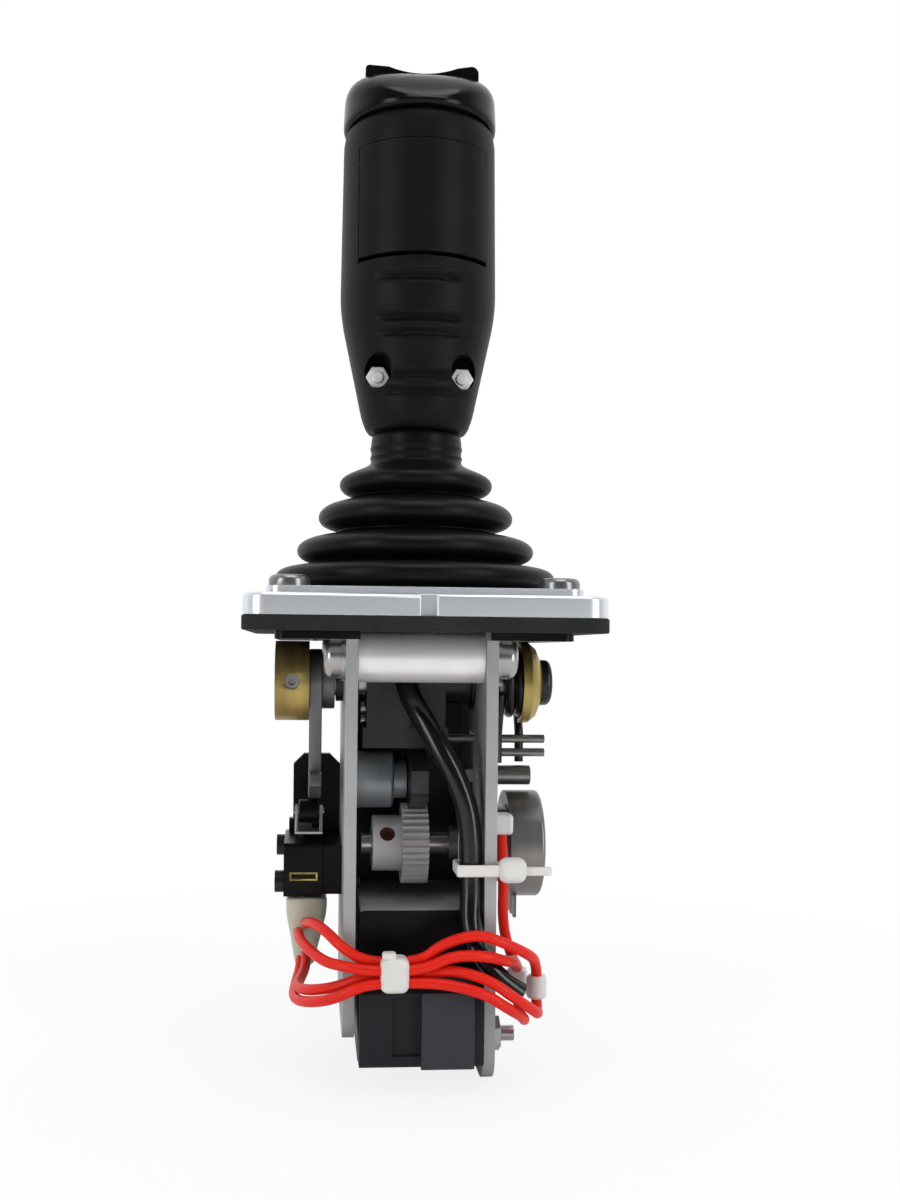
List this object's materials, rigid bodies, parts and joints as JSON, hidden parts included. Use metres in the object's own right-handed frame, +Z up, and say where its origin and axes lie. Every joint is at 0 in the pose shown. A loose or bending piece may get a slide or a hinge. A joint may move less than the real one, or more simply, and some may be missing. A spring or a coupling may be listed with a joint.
{
  "type": "industrial joystick",
  "caption": "Panel-mounted single-axis joystick: moulded grip with trigger and rocker, rubber bellows, square flange, open frame with gear sector, sensor, spring and limit switch.",
  "frame": {"origin": "centre of the gasket's underside, in the plane of the panel", "axes": "+Z up along the handle, +X towards the position sensor, -Y towards the trigger's side"},
  "size_m": [0.0896, 0.0896, 0.2649],
  "materials": {
    "zinc": "zinc plated sheet",
    "plate_metal": "brushed bright flange plate",
    "steel": "nickel plated steel",
    "aluminium": "turned bright aluminium",
    "brass": "yellow-brown brass",
    "spring_steel": "oiled black spring steel",
    "rubber": "black moulded rubber",
    "black_plastic": "black moulded plastic with a fine grain",
    "gloss_black": "glossy black plastic",
    "grey_plastic": "grey moulded plastic",
    "slate_plastic": "dark slate-blue plastic",
    "soft_plastic": "translucent grey-green soft plastic",
    "nylon": "white nylon",
    "cable_black": "black heat-shrink sleeve",
    "wire_red": "bright red wire insulation"
  },
  "bodies": {
    "frame": {"mounting_plate": "plate_metal", "gasket": "rubber", "spacer_frame": "black_plastic", "boot_retainer": "plate_metal", "retainer_screws": "steel", "left_side_plate": "zinc", "right_side_plate": "zinc", "front_spacer": "aluminium", "rear_spacer": "aluminium", "spacer_screws": "steel", "shaft_bushes": "steel", "spring_anchor_pin": "steel", "standoff_post": "steel", "friction_barrel": "grey_plastic", "pot_body": "steel", "pot_nut": "steel", "switch_body": "black_plastic", "switch_terminals": "brass", "terminal_boots": "soft_plastic", "switch_screws": "steel", "switch_bracket": "black_plastic", "back_bracket": "zinc", "module_case": "black_plastic", "module_cover": "slate_plastic", "module_screw": "steel", "lower_cable": "cable_black", "red_wires": "wire_red", "wire_ties": "nylon", "wire_connectors": "nylon"},
    "lever": {"pivot_shaft": "steel", "hub_block": "zinc", "cross_bar": "aluminium", "sector_gear": "zinc", "sector_screws": "steel", "handle_tube": "steel", "shaft_sleeve": "steel", "left_collar": "brass", "collar_screw": "steel", "cam_arm": "zinc", "dished_washer": "brass", "shaft_screw": "steel", "centring_spring": "spring_steel", "spring_pin": "steel", "grip_front": "black_plastic", "grip_rear": "black_plastic", "grip_nuts": "steel", "grip_screws": "steel", "grip_pins": "steel", "grip_switches": "black_plastic", "top_cap": "gloss_black", "boot": "rubber", "handle_cable": "cable_black"},
    "rocker": {"rocker": "black_plastic"},
    "trigger": {"trigger": "black_plastic"},
    "sensor_shaft": {"pot_shaft": "steel", "pinion": "nylon", "pinion_screw": "steel"},
    "switch_lever": {"switch_lever": "steel"},
    "switch_roller": {"switch_roller": "black_plastic"},
    "switch_plunger": {"switch_plunger": "nylon"}
  },
  "joints": [
    {"name": "lever_pivot", "type": "hinge", "parent": "frame", "child": "lever", "pos_m": [0, 0, -0.013], "axis": [1, 0, 0], "range_deg": [-20, 20], "stiffness_Nm_per_rad": 1.6, "deforming": ["boot", "centring_spring", "handle_cable"]},
    {"name": "rocker_tilt", "type": "hinge", "parent": "lever", "child": "rocker", "pos_m": [0, 0, 0.146], "axis": [0, 1, 0], "range_deg": [-8, 8], "stiffness_Nm_per_rad": 0.1},
    {"name": "trigger_pull", "type": "hinge", "parent": "lever", "child": "trigger", "pos_m": [0, -0.009, 0.124], "axis": [1, 0, 0], "range_deg": [0, 3.5], "stiffness_Nm_per_rad": 0.3, "springref_deg": -3},
    {"name": "sensor_turn", "type": "hinge", "parent": "frame", "child": "sensor_shaft", "pos_m": [0, 0, -0.0568], "axis": [1, 0, 0], "range_deg": [-66, 66]},
    {"name": "switch_arm", "type": "hinge", "parent": "frame", "child": "switch_lever", "pos_m": [-0.028, 0.017, -0.0538], "axis": [1, 0, 0], "range_deg": [-3.6, 3.6]},
    {"name": "roller_spin", "type": "hinge", "parent": "switch_lever", "child": "switch_roller", "pos_m": [-0.028, 0, -0.04827], "axis": [1, 0, 0], "range_deg": [-200, 200]},
    {"name": "plunger_slide", "type": "slide", "parent": "frame", "child": "switch_plunger", "axis": [0, 0, 1], "range_m": [-0.0004, 0.0004]}
  ],
  "couplings": [
    {"joint": "sensor_turn", "follows": "lever_pivot", "ratio": -3.2941},
    {"joint": "switch_arm", "follows": "lever_pivot", "ratio": -0.17647},
    {"joint": "roller_spin", "follows": "lever_pivot", "ratio": -9.9687},
    {"joint": "plunger_slide", "follows": "lever_pivot", "m_per_rad": 0.0010588}
  ]
}
